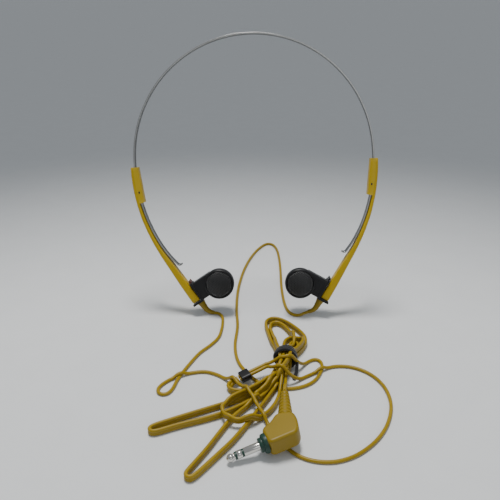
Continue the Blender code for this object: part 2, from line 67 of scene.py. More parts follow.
GUIDE_LENGTH = 0.0200
ARM_OFFSET = {"left": 0.0058, "right": 0.0120}
ARM_FACES = [
    (0.0000, 0.0007, 0.0021), (0.0200, 0.0008, 0.0025), (0.0300, 0.0012, 0.0031),
    (0.0400, 0.0012, 0.0033), (0.0500, 0.0006, 0.0031), (0.0620, -0.0009, 0.0026),
    (0.0840, -0.0024, 0.0024),
]
BUD_IN = 0.0166
BUD_UP = 0.0014
BUD_RADIUS = 0.0085
GRILLE_RADIUS = 0.0078
GRILLE_TOP = 0.0066
GRILLE_RISE = 0.0025
PLATE_FACE = 0.0126
PLATE_THICKNESS = 0.0013
RELIEF_AXIS = 0.0152
CORD_RADIUS = 0.00085
LEAD_PLACE = Vector((-0.0011, -0.0243, 0.0))
TIE_PLACE = Vector((0.0192, -0.0445, 0.0062))
TIE_BORE = 0.0043
TIE_RADIUS = 0.0062
TIE_WIDTH = 0.0058
PLUG_PLACE = Vector((0.0167, -0.1023, 0.0073))
PLUG_HEADING = math.radians(22.0)
PLUG_DIP = math.radians(-11.0)
PLUG_HALF_DEPTH = 0.0042
PLUG_SPLAY = math.radians(-22.0)
PLUG_SEAT = (0.0052, 0.0086, 0)
PLUG_RELIEF_LENGTH = 0.0150
SHAFT_RADIUS = 0.00175
NECK_DEPTH = (-0.0034, 0.0040)
NECK_HEIGHT = (-0.0025, 0.0085)
SIDES = {"left": -1, "right": 1}

# ---- The lead: points in mm from LEAD_PLACE, each the middle of the cord ----
ROUTE_LEFT = [
    (-20.6, 4.6, 1.0), (-18.2, 4.1, 0.9), (-15.9, 1.4, 0.85), (-15.1, -5, 0.85),
    (-15.2, -13, 0.85), (-16.2, -21, 0.85), (-20, -28.5, 0.85), (-24.8, -35.5, 0.85),
    (-28.3, -44, 0.85), (-31.2, -52, 0.85), (-33.2, -59, 0.85), (-34.2, -65, 0.85),
    (-36.4, -69.3, 0.85), (-40, -69.2, 0.85), (-41.4, -65.6, 0.9), (-39.2, -61, 1.4),
    (-35.3, -57, 2.6), (-31, -54.2, 2.8), (-26, -52.2, 1.5), (-20, -51.2, 0.85),
    (-14, -53.6, 1.4), (-9.8, -56.8, 3.6), (-6, -60.4, 5.0), (-2.5, -64.6, 5.8),
    (1, -70, 7.2), (5, -77, 7.4), (8.6, -84, 5.6), (11.8, -90, 2.4),
    (15.2, -96.5, 0.85), (20.8, -104.2, 0.85), (26.5, -108, 0.85), (33, -109.4, 0.85),
    (40, -108.6, 0.85), (48, -104.6, 0.85), (56.5, -96.5, 0.85), (63, -86, 0.85),
    (66.8, -73, 0.85), (66, -60.5, 0.85), (61, -50.8, 0.85), (53, -45.2, 0.85),
    (44, -44.6, 1.8), (37, -48, 3.4), (29.6, -53.2, 5.2), (22.8, -58, 7.6),
    (17.4, -58, 8.8), (13, -55.4, 8.0), (9.95, -53.8, 6.4), (6.8, -55.4, 5.65),
    (3.7, -56.95, 4.85), (0.6, -58.5, 4.1), (-2.55, -60.1, 3.3),
]
ROUTE_RIGHT = [
    (33.2, 5.0, 2.5), (30.4, 4.3, 1.7), (27.2, 3.5, 1.05), (23.8, 4.8, 0.85), (21.2, 10, 0.85),
    (19.4, 21, 0.85), (18.3, 38, 0.85), (18, 58, 0.85), (17.4, 76, 0.85), (15.8, 92, 0.85),
    (12.8, 101, 0.85), (8.6, 102.2, 0.85), (4.2, 96, 0.85), (0, 86, 0.85), (-4.2, 70, 0.85),
    (-7, 52, 0.85), (-8.5, 32, 0.85), (-8.2, 10, 0.85), (-6.6, -9, 0.85), (-6.9, -28, 0.85),
    (-4.6, -42, 0.85), (0.4, -51.5, 0.85), (6.4, -59, 0.85), (13, -62.6, 0.85),
    (20.5, -63.2, 0.85), (28, -61, 0.85), (33.6, -56, 0.85), (37, -48.4, 0.85),
    (37.6, -42, 0.95), (35.2, -38.8, 2.4), (31, -41, 5.6), (26, -47, 9.0),
    (20, -51.4, 10.2), (14, -50.6, 9.0), (9.05, -52, 6.4), (5.9, -53.6, 5.65),
    (2.8, -55.15, 4.85), (-0.3, -56.7, 4.1), (-3.45, -58.3, 3.3),
]
ROUTE_TRUNK = [
    (-3.5, -59.5, 3.1), (-6.4, -61, 2.3), (-8.3, -63.4, 1.75), (-7.4, -66.2, 1.75),
    (-4.2, -67.3, 1.75), (-0.6, -66.9, 1.75), (4.4, -64.4, 2.0),
]
# The trunk's hank, between ROUTE_TRUNK and ROUTE_TAIL: back and forth through the tie.
ROUTE_HANK = [
    (10, -59.6, 2.6), (14, -53.8, 3.6), (16.35, -47.5, 4.5), (16.95, -41.5, 4.5),
    # first rear loop
    (14.6, -33, 3.6), (11.2, -20, 2.4), (9, -9, 1.75), (10.3, -3.8, 1.75), (14.5, -2.2, 1.75),
    (20, -5.4, 1.75), (25.4, -11.8, 1.75), (29.6, -19, 1.75), (30.4, -25.6, 2.2), (28, -32, 3.0),
    (24.6, -37.4, 4.0), (22.05, -41.5, 4.5), (21.45, -47.5, 4.5),
    # left fold
    (18, -54, 4.0), (13, -60.4, 3.0), (5, -67.6, 2.4), (-4, -73.8, 1.9), (-15, -79.6, 1.75),
    (-27, -85.8, 1.75), (-36.4, -90.8, 1.75), (-39.3, -92.5, 1.75), (-40.3, -94, 1.75),
    (-39.9, -95.6, 1.75), (-38.4, -96.2, 1.75), (-36.4, -95.6, 1.75), (-28, -91.4, 1.75),
    (-16, -86.4, 1.75), (-7, -81.6, 1.9), (1.6, -75, 3.4), (9, -67.6, 5.6), (14.2, -59.6, 6.6),
    (16.6, -53.4, 7.4), (18.05, -47.5, 7.9), (18.65, -41.5, 7.9),
    # round rear loop
    (19, -35, 6.8), (18.6, -29, 5.6), (19.8, -24, 5.2), (23, -21.4, 5.2), (26.8, -22.2, 5.2),
    (29, -25.6, 5.3), (28.2, -30.6, 5.6), (25.2, -36, 7.0), (22.05, -41.5, 7.9),
    (21.45, -47.5, 7.9),
    # front fold
    (18.9, -54, 7.2), (15, -60.6, 5.6), (8.4, -69.4, 4.8), (0.6, -78.6, 5.0), (-5.4, -86.8, 4.2),
    (-9.4, -95, 2.4), (-14, -105, 1.75), (-19.4, -115.2, 1.75), (-21.2, -118.4, 1.75),
    (-21.4, -119.8, 1.75), (-20.4, -121, 1.75), (-19, -121.1, 1.75), (-17.8, -120.2, 1.75),
    (-14.6, -115.8, 1.75), (-9.6, -108.6, 1.75), (-3.8, -100, 1.75), (0.8, -91.6, 1.8),
    (5.6, -82, 2.0), (10.8, -71.4, 2.6), (15.6, -60.4, 3.4), (17.8, -54, 4.1),
    (19.75, -47.5, 4.5), (20.35, -41.5, 4.5),
    # small rear loop
    (21.4, -35, 4.0), (21.6, -29.6, 3.4), (22.8, -26.4, 3.2), (25, -25.9, 3.2), (26.4, -28, 3.3),
    (25.6, -32, 3.5), (22.4, -37, 4.1), (18.65, -41.5, 4.5), (18.05, -47.5, 4.5),
    # curve in front of the fan
    (17.6, -54, 4.2), (17, -60, 3.8), (16.4, -66, 3.4), (14.8, -74, 2.2), (11.2, -81.2, 1.9),
    (5.4, -86.8, 3.8), (-1.2, -89.6, 5.2), (-7, -88, 5.6), (-9.6, -83, 4.6), (-7.4, -77.2, 4.4),
    (-1, -71.8, 4.8), (6.4, -65.6, 5.2), (11.6, -59.6, 6.4), (14.6, -53.6, 7.4),
    (16.35, -47.5, 7.9), (16.95, -41.5, 7.9),
    # second left rear loop
    (15, -33, 6.8), (12.6, -21, 5.4), (11.4, -12.6, 5.0), (12, -8, 5.0), (14.6, -6.2, 5.0),
    (17.6, -8, 5.0), (20.8, -13, 5.2), (23.4, -19.4, 7.2), (24.2, -26, 8.4), (23.2, -33, 8.4),
    (20.35, -41.5, 7.9), (19.75, -47.5, 7.9), (19.3, -52.6, 6.2),
]
SLIDER_LOW, SLIDER_HIGH = (-3.0, -59.2, 3.3), (9.5, -52.9, 6.4)
SLIDER_START = 0.0030   # metres from its low end
ROUTE_TAIL = [
    (19, -57.4, 4.6), (19, -61.5, 5.0), (18.6, -67, 6.4), (18.2, -73, 8.5), (18.1, -77.1, 9.4),
]


# ---- Places ----
def place_matrix(location, turn):
    return Matrix.Translation(location) @ Euler(turn).to_matrix().to_4x4()


PLANE = place_matrix(STAND, (-LEAN, 0, 0)) @ place_matrix((0, 0, 0), (0, -ROLL, 0))
FRONT = place_matrix((0, 0, 0), (math.radians(90), 0, 0))
PLUG = Matrix.Translation(LEAD_PLACE) @ place_matrix(PLUG_PLACE, (0, PLUG_DIP, PLUG_HEADING))
SHAFT = PLUG @ place_matrix((0, 0, 0), (0, math.radians(-90), 0))


def arm_matrix(name):
    side = SIDES[name]
    reach = SLIDE_RADIUS - BAND_RADIUS
    centre = (-side * reach * math.cos(JUNCTION), 0, -reach * math.sin(JUNCTION))
    turn = side * (ARM_OFFSET[name] / SLIDE_RADIUS - JUNCTION)
    return PLANE @ place_matrix(centre, (0, turn, 0))


def arm_heading(s):
    guide_turn = GUIDE_LENGTH / SLIDE_RADIUS
    if s <= GUIDE_LENGTH:
        return s / SLIDE_RADIUS
    share = (s - GUIDE_LENGTH) / (ARM_LENGTH - GUIDE_LENGTH)
    return guide_turn + (ARM_FOOT_TURN - guide_turn) * math.sqrt(share)


def arm_line(side, steps=168):
    """(distance, x, z, heading) down the arm, from the centre of its slide arc."""
    x, z, step = SLIDE_RADIUS, 0.0, ARM_LENGTH / steps
    line = [(0.0, side * x, z, 0.0)]
    for i in range(steps):
        heading = arm_heading((i + 0.5) * step)
        x -= step * math.sin(heading)
        z -= step * math.cos(heading)
        line.append(((i + 1) * step, side * x, z, arm_heading((i + 1) * step)))
    return line


def bud_matrix(name):
    side = SIDES[name]
    _, foot_x, foot_z, heading = arm_line(side)[-1]
    out = Vector((side * math.cos(heading), 0, -math.sin(heading)))
    up = Vector((side * math.sin(heading), 0, math.cos(heading)))
    place = Vector((foot_x, 0, foot_z)) - BUD_IN * out + BUD_UP * up
    return arm_matrix(name) @ place_matrix(place, (0, side * heading, 0))


# ---- Mesh helpers ----
def make_piece(name, bm, matrix, mat, body, angle=40.0):
    """A finished piece from a bmesh, placed by a matrix and riding on a body."""
    bmesh.ops.remove_doubles(bm, verts=bm.verts, dist=1e-7)
    bmesh.ops.recalc_face_normals(bm, faces=bm.faces)
    mesh = bpy.data.meshes.new(name)
    bm.to_mesh(mesh)
    bm.free()
    mesh.transform(matrix)
    mesh.shade_smooth()
    mesh.set_sharp_from_angle(angle=math.radians(angle))
    mesh.materials.append(mat)
    obj = bpy.data.objects.new(name, mesh)
    bpy.context.scene.collection.objects.link(obj)
    if body:
        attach(obj, body)
    return obj


def join_rings(bm, rings):
    """Faces between each ring of vertices and the next, and a cap on both ends."""
    count = len(rings[0])
    for a, b in zip(rings, rings[1:]):
        for i in range(count):
            j = (i + 1) % count
            bm.faces.new((a[i], a[j], b[j], b[i]))
    bm.faces.new(rings[0])
    bm.faces.new(rings[-1])


def soften(obj, width, segments=3, angle=35.0):
    edges = obj.modifiers.new("edges", "BEVEL")
    edges.width = width
    edges.segments = segments
    edges.limit_method = "ANGLE"
    edges.angle_limit = math.radians(angle)
    edges.harden_normals = False


def lathe(profile, steps=64, closed=False):
    """A bmesh of (radius, height) points turned about Z; points on the axis are shared."""
    bm = bmesh.new()
    rings = []
    for r, h in profile:
        if r < 1e-7:
            rings.append([bm.verts.new((0, 0, h))] * steps)
            continue
        angles = [2 * math.pi * i / steps for i in range(steps)]
        rings.append([bm.verts.new((r * math.cos(a), r * math.sin(a), h)) for a in angles])
    pairs = list(zip(rings, rings[1:]))
    if closed:
        pairs.append((rings[-1], rings[0]))
    for low, high in pairs:
        for i in range(steps):
            j = (i + 1) % steps
            corners = []
            for vert in (low[i], low[j], high[j], high[i]):
                if vert not in corners:
                    corners.append(vert)
            if len(corners) > 2:
                bm.faces.new(corners)
    return bm


def rounded(points, radius, steps=4):
    """An outline of (x, y) points with each corner rounded, by one radius or one for each."""
    result = []
    for i in range(len(points)):
        before, here, after = (Vector(points[k % len(points)]) for k in (i - 1, i, i + 1))
        wanted = radius[i] if isinstance(radius, tuple) else radius
        reach = min(wanted, (before - here).length * 0.45, (after - here).length * 0.45)
        start = here + (before - here).normalized() * reach
        end = here + (after - here).normalized() * reach
        for k in range(steps + 1):
            t = k / steps
            result.append(tuple(start * (1 - t) ** 2 + here * 2 * t * (1 - t) + end * t * t))
    return result


def slab(outline, low, high):
    """A bmesh of an (x, y) outline between two heights."""
    bm = bmesh.new()
    base = [bm.verts.new((x, y, low)) for x, y in outline]
    face = bm.faces.new(base)
    grown = bmesh.ops.extrude_face_region(bm, geom=[face])
    top = [v for v in grown["geom"] if isinstance(v, bmesh.types.BMVert)]
    bmesh.ops.translate(bm, vec=(0, 0, high - low), verts=top)
    return bm


def smooth_route(points, spacing):
    """Points evenly spaced along a smooth curve through the given ones."""
    pts = np.array(points, float)
    ends = np.vstack([2 * pts[0] - pts[1], pts, 2 * pts[-1] - pts[-2]])
    fine = []
    for i in range(1, len(ends) - 2):
        p0, p1, p2, p3 = ends[i - 1:i + 3]
        for t in np.linspace(0, 1, 16, endpoint=False):
            fine.append(0.5 * (2 * p1 + (p2 - p0) * t + (2 * p0 - 5 * p1 + 4 * p2 - p3) * t * t
                               + (3 * p1 - p0 - 3 * p2 + p3) * t ** 3))
    fine = np.array(fine + [pts[-1]])
    along = np.concatenate([[0], np.cumsum(np.linalg.norm(np.diff(fine[:, :3], axis=0), axis=1))])
    wanted = np.linspace(0, along[-1], max(4, int(along[-1] / spacing)))
    return np.column_stack([np.interp(wanted, along, fine[:, k]) for k in range(fine.shape[1])])


def sweep(path, section, up=(0, 0, 1), scales=None, rolls=None):
    """A closed tube of a section carried along a path; section x is sideways, y is up."""
    bm = bmesh.new()
    up = Vector(up)
    rings = []
    for i, point in enumerate(path):
        ahead, behind = path[min(i + 1, len(path) - 1)], path[max(i - 1, 0)]
        way = (Vector(ahead) - Vector(behind)).normalized()
        right = way.cross(up).normalized()
        over = right.cross(way)
        k = scales[i] if scales else 1.0
        if rolls:
            twist = Matrix.Rotation(rolls[i], 3, way)
            right, over = twist @ right, twist @ over
        rings.append([bm.verts.new(Vector(point) + right * x * k + over * y * k)
                      for x, y in section])
    join_rings(bm, rings)
    return bm


def circle(radius, steps):
    return [(radius * math.cos(2 * math.pi * i / steps),
             radius * math.sin(2 * math.pi * i / steps)) for i in range(steps)]


def figure_eight(radius, steps=7):
    """Two round strands side by side, one above the other, joined by a thin web."""
    shape, open_angle = [], math.radians(34)
    for centre, start in ((radius * 0.97, -math.pi / 2), (-radius * 0.97, math.pi / 2)):
        for i in range(steps + 1):
            angle = start + open_angle + (2 * math.pi - 2 * open_angle) * i / steps
            shape.append((radius * math.cos(angle), centre + radius * math.sin(angle)))
    return shape


# ---- Materials ----
def material(name, colour, roughness, metallic=0.0, vary=0.06, grain=900.0, bump=0.04,
             rough_vary=0.12, wear=None, coat=0.0, sheen=0.0):
    """A surface with slow colour drift, fine grain in its relief and gloss, and worn edges."""
    mat = bpy.data.materials.new(name)
    mat.use_nodes = True
    nodes, links = mat.node_tree.nodes, mat.node_tree.links
    shader = nodes["Principled BSDF"]
    shader.inputs["Metallic"].default_value = metallic
    shader.inputs["Coat Weight"].default_value = coat
    shader.inputs["Sheen Weight"].default_value = sheen
    if not metallic:
        shader.inputs["Specular IOR Level"].default_value = 0.35
    where = nodes.new("ShaderNodeTexCoord")

    def noise(scale, detail=3.0):
        tex = nodes.new("ShaderNodeTexNoise")
        tex.inputs["Scale"].default_value = scale
        tex.inputs["Detail"].default_value = detail
        links.new(where.outputs["Object"], tex.inputs["Vector"])
        return tex

    slow, fine = noise(60.0, 4.0), noise(grain, 2.0)
    ramp = nodes.new("ShaderNodeValToRGB")
    ramp.color_ramp.elements[0].position = 0.3
    ramp.color_ramp.elements[1].position = 0.7
    ramp.color_ramp.elements[0].color = (*[c * (1 - vary) for c in colour], 1)
    ramp.color_ramp.elements[1].color = (*[min(1, c * (1 + vary)) for c in colour], 1)
    links.new(slow.outputs["Fac"], ramp.inputs["Fac"])
    colour_out = ramp.outputs["Color"]
    if wear:
        shape = nodes.new("ShaderNodeNewGeometry")
        edge = nodes.new("ShaderNodeMapRange")
        edge.inputs["From Min"].default_value = 0.54
        edge.inputs["From Max"].default_value = 0.66
        edge.inputs["To Max"].default_value = 0.55
        links.new(shape.outputs["Pointiness"], edge.inputs["Value"])
        mix = nodes.new("ShaderNodeMix")
        mix.data_type = "RGBA"
        mix.inputs["B"].default_value = (*wear, 1)
        links.new(edge.outputs["Result"], mix.inputs["Factor"])
        links.new(colour_out, mix.inputs["A"])
        colour_out = mix.outputs["Result"]
    links.new(colour_out, shader.inputs["Base Color"])
    gloss = nodes.new("ShaderNodeMapRange")
    gloss.inputs["To Min"].default_value = max(0.03, roughness - rough_vary)
    gloss.inputs["To Max"].default_value = min(1.0, roughness + rough_vary)
    links.new(slow.outputs["Fac"], gloss.inputs["Value"])
    links.new(gloss.outputs["Result"], shader.inputs["Roughness"])
    relief = nodes.new("ShaderNodeBump")
    relief.inputs["Strength"].default_value = bump * 5
    relief.inputs["Distance"].default_value = 0.0001
    links.new(fine.outputs["Fac"], relief.inputs["Height"])
    links.new(relief.outputs["Normal"], shader.inputs["Normal"])
    return mat


YELLOW = (0.50, 0.33, 0.003)
steel = material("brushed_steel", (0.17, 0.17, 0.165), 0.36, 1.0, 0.12, 1600, 0.02)
# A lighter copy of the band steel: painted reflection, laid on the band faces that look to the front.
steel_painted_reflection = material("steel_painted_reflection", (0.44, 0.44, 0.43), 0.30, 1.0, 0.10, 1600, 0.01)
yellow = material("yellow_plastic", YELLOW, 0.42, 0, 0.07, 1300, 0.04, wear=(0.62, 0.46, 0.05))
black = material("black_plastic", (0.006, 0.006, 0.007), 0.42, 0, 0.2, 1500, 0.05,
                 wear=(0.03, 0.03, 0.032))
tab_brown = material("tab_brown", (0.09, 0.028, 0.018), 0.4, 0, 0.15, 1500, 0.04)
grille_paint = material("grille_paint", (0.028, 0.028, 0.029), 0.34, 0, 0.25, 2200, 0.05,
                        wear=(0.06, 0.06, 0.06))
cloth = material("acoustic_cloth", (0.006, 0.006, 0.006), 0.95, 0, 0.2, 5200, 0.3, sheen=0.2)
driver = material("driver_metal", (0.45, 0.45, 0.46), 0.35, 1.0)
film = material("diaphragm_film", (0.72, 0.62, 0.42), 0.2, 0, coat=0.4)
copper = material("copper_wire", (0.72, 0.33, 0.17), 0.3, 1.0, grain=3000)
board = material("circuit_board", (0.04, 0.2, 0.09), 0.45)
pvc = material("cord_pvc", (0.315, 0.205, 0.002), 0.40, 0, 0.09, 1100, 0.03)
# The cord's own PVC made darker: painted shade for the plug, its ribs and the strain reliefs, which are
# all the cord's plastic.
pvc_shaded_copy = material("pvc_painted_shade", (0.25, 0.165, 0.001), 0.44, 0, 0.06, 1400, 0.05)
elastic = material("covered_elastic", (0.008, 0.008, 0.009), 0.8, 0, 0.3, 3600, 0.3, sheen=0.3)
nickel = material("nickel_plate", (0.66, 0.64, 0.60), 0.16, 1.0, 0.06, 2600, 0.02)
insulator = material("insulator", (0.012, 0.045, 0.032), 0.38, 0, 0.1)
# Pale fibre-shaped specks: painted highlight, laid only on the upper half of each grille dome where its
# top catches the light.
highlight_specks = material("highlight_specks", (0.7, 0.7, 0.68), 0.95, 0, 0.1, 3000, 0.2, sheen=0.4)


# ---- Headband ----
def arc_from(start, heading, radius, length, side, steps):
    x, z = start
    centre = (x - side * radius * math.cos(heading), z + radius * math.sin(heading))
    angles = [heading + length / radius * (i + 1) / steps for i in range(steps)]
    points = [(centre[0] + side * radius * math.cos(a), centre[1] - radius * math.sin(a))
              for a in angles]
    return points, heading + length / radius


def band_half(side):
    start = (side * BAND_RADIUS * math.cos(JUNCTION), BAND_RADIUS * math.sin(JUNCTION))
    points, heading = arc_from(start, -JUNCTION, SLIDE_RADIUS, SLIDE_RADIUS * SLIDE_TURN, side, 40)
    tail, heading = arc_from(points[-1], heading, TAIL_RADIUS, TAIL_LENGTH, side, 20)
    curl, heading = arc_from(tail[-1], heading, CURL_RADIUS, CURL_RADIUS * CURL_TURN, side, 12)
    return points + tail + curl


def make_headband():
    sweep_angle = math.pi - 2 * JUNCTION
    crown = []
    for i in range(129):
        angle = JUNCTION + sweep_angle * i / 128
        crown.append((BAND_RADIUS * math.cos(angle), BAND_RADIUS * math.sin(angle)))
    path = [(x, 0.0, z) for x, z in band_half(1)[::-1] + crown + band_half(-1)]
    half, deep, edge = BAND_THICKNESS / 2, BAND_DEPTH / 2, 0.00022
    section = rounded([(-deep, -half), (deep, -half), (deep, half), (-deep, half)], edge, 3)
    bm = bmesh.new()
    rings = []
    for i, (x, _, z) in enumerate(path):
        ahead, behind = path[min(i + 1, len(path) - 1)], path[max(i - 1, 0)]
        way = Vector((ahead[0] - behind[0], 0, ahead[2] - behind[2])).normalized()
        out = Vector((way.z, 0, -way.x))
        rings.append([bm.verts.new(Vector((x, d, z)) + out * t) for d, t in section])
    join_rings(bm, rings)
    band = make_piece("headband_strip", bm, PLANE, steel, "root", angle=50)
    # The faces that look to the front take the lighter steel copy: a painted reflection.
    band.data.materials.append(steel_painted_reflection)
    front = PLANE.to_3x3() @ Vector((0, -1, 0))
    for face in band.data.polygons:
        if face.normal.dot(front) > 0.55:
            face.material_index = 1
    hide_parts("headband")


# ---- Arms ----
def make_arm(name):
    side, body, place = SIDES[name], "arm_" + name, arm_matrix(name)
    line = arm_line(side)
    faces = smooth_route(ARM_FACES, 0.0005)
    bm = bmesh.new()
    rings = []
    for s, x, z, heading in line[::2]:
        inner = float(np.interp(s, faces[:, 0], faces[:, 1]))
        outer = float(np.interp(s, faces[:, 0], faces[:, 2]))
        out = Vector((side * math.cos(heading), 0, -math.sin(heading)))
        deep = ARM_DEPTH / 2
        soft = 0.00004 if s < GUIDE_LENGTH else 0.0006
        shape = rounded([(-deep, inner), (deep, inner), (deep, outer), (-deep, outer)],
                        (soft, soft, 0.0007, 0.0007), 4)
        ease = 1.0
        if s < 0.0008 or s > ARM_LENGTH - 0.0008:
            ease = 0.88
        middle = (inner + outer) / 2
        rings.append([bm.verts.new(Vector((x, d * ease, z)) + out * (middle + (t - middle) * ease))
                      for d, t in shape])
    join_rings(bm, rings)
    arm = make_piece("arm_shell_" + name, bm, place, yellow, body, angle=50)
    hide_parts("arm_" + name)

    # the guide: a channel round the band, and a small black patch laid on its front wall, with nothing
    # cut in
    top = [p for p in line if p[0] <= GUIDE_LENGTH + 1e-6][::2]
    wall_out = 0.0009
    chan, deep = BAND_DEPTH / 2 + 0.0003, ARM_DEPTH / 2
    bm = bmesh.new()
    rings = []
    for i, (s, x, z, heading) in enumerate(top):
        back = -0.0019 - 0.0005 * math.sin(math.pi * i / (len(top) - 1))
        out = Vector((side * math.cos(heading), 0, -math.sin(heading)))
        shape = [(-deep, wall_out), (-deep, back + 0.0006), (-deep + 0.0002, back + 0.0002),
                 (-deep + 0.0007, back), (deep - 0.0007, back), (deep - 0.0002, back + 0.0002),
                 (deep, back + 0.0006), (deep, wall_out), (chan, wall_out), (chan, -0.0007),
                 (-chan, -0.0007), (-chan, wall_out)]
        rings.append([bm.verts.new(Vector((x, d, z)) + out * t) for d, t in shape])
    join_rings(bm, rings)
    guide = make_piece("guide_" + name, bm, place, yellow, body, angle=40)
    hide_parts("band_guide_" + name)
    s, x, z, heading = line[int(len(line) * 0.17)]
    out = Vector((side * math.cos(heading), 0, -math.sin(heading)))
    seat = place @ Matrix.Translation(Vector((x, -ARM_DEPTH / 2 - 0.00002, z)) + out * -0.0006)
    seat = seat @ place_matrix((0, 0, 0), (math.radians(90), side * heading, 0))
    # A thin black slab lying on the front wall of the guide, with no hole cut in.
    slot = slab(rounded([(-0.0004, -0.0006), (0.0004, -0.0006), (0.0004, 0.0006),
                         (-0.0004, 0.0006)], 0.0003), -0.0001, 0.00006)
    mark = make_piece("guide_black_patch_" + name, slot, seat, black, body)


# ---- Earbuds ----
def dome_height(r):
    return GRILLE_TOP - GRILLE_RISE * (r / GRILLE_RADIUS) ** 2


def make_grille(name, place, body):
    """A domed sheet of hexagonal cells, each with its own round hole."""
    pitch, hole, sides = 0.00095, 0.0003, 6
    cell = pitch / math.sqrt(3)
    row_height = pitch * math.sqrt(3) / 2
    bm = bmesh.new()
    rows = int(GRILLE_RADIUS / row_height) + 1
    for row in range(-rows, rows + 1):
        for col in range(-rows - 2, rows + 3):
            cx, cy = (col + 0.5 * (row % 2)) * pitch, row * row_height
            if math.hypot(cx, cy) > GRILLE_RADIUS - 0.0006:
                continue
            outer, inner = [], []
            for k in range(sides):
                angle = math.radians(30 + 60 * k)
                for ring, radius in ((outer, cell), (inner, hole)):
                    x, y = cx + radius * math.cos(angle), cy + radius * math.sin(angle)
                    ring.append(bm.verts.new((x, y, dome_height(math.hypot(x, y)))))
            for k in range(sides):
                j = (k + 1) % sides
                bm.faces.new((outer[k], outer[j], inner[j], inner[k]))
    grille = make_piece("grille_sheet_" + name, bm, place @ FRONT, grille_paint, body, angle=60)
    gauge = grille.modifiers.new("gauge", "SOLIDIFY")
    gauge.thickness = 0.00018
    gauge.offset = -1.0
    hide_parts("grille_" + name)


def make_highlight_specks(name, place, body, seed):
    draw = random.Random(seed)
    bm = bmesh.new()
    for _ in range(18):
        # Angles from 0.15 to pi - 0.15 keep the specks on the dome's upper half: painted highlight at its
        # top.
        r, a = 0.0068 * math.sqrt(draw.random()), draw.uniform(0.15, math.pi - 0.15)
        x, y = r * math.cos(a), r * math.sin(a)
        turn = draw.uniform(0, math.pi)
        length, width = draw.uniform(0.0001, 0.0005), draw.uniform(0.00003, 0.00008)
        base = Matrix.Translation((x, y, dome_height(r) + width * 0.6))
        base = base @ Matrix.Rotation(turn, 4, "Z") @ Matrix.Diagonal((length, width, width, 1))
        bmesh.ops.create_icosphere(bm, subdivisions=1, radius=0.5, matrix=base)
    specks = make_piece("highlight_specks_" + name, bm, place @ FRONT, highlight_specks, body)


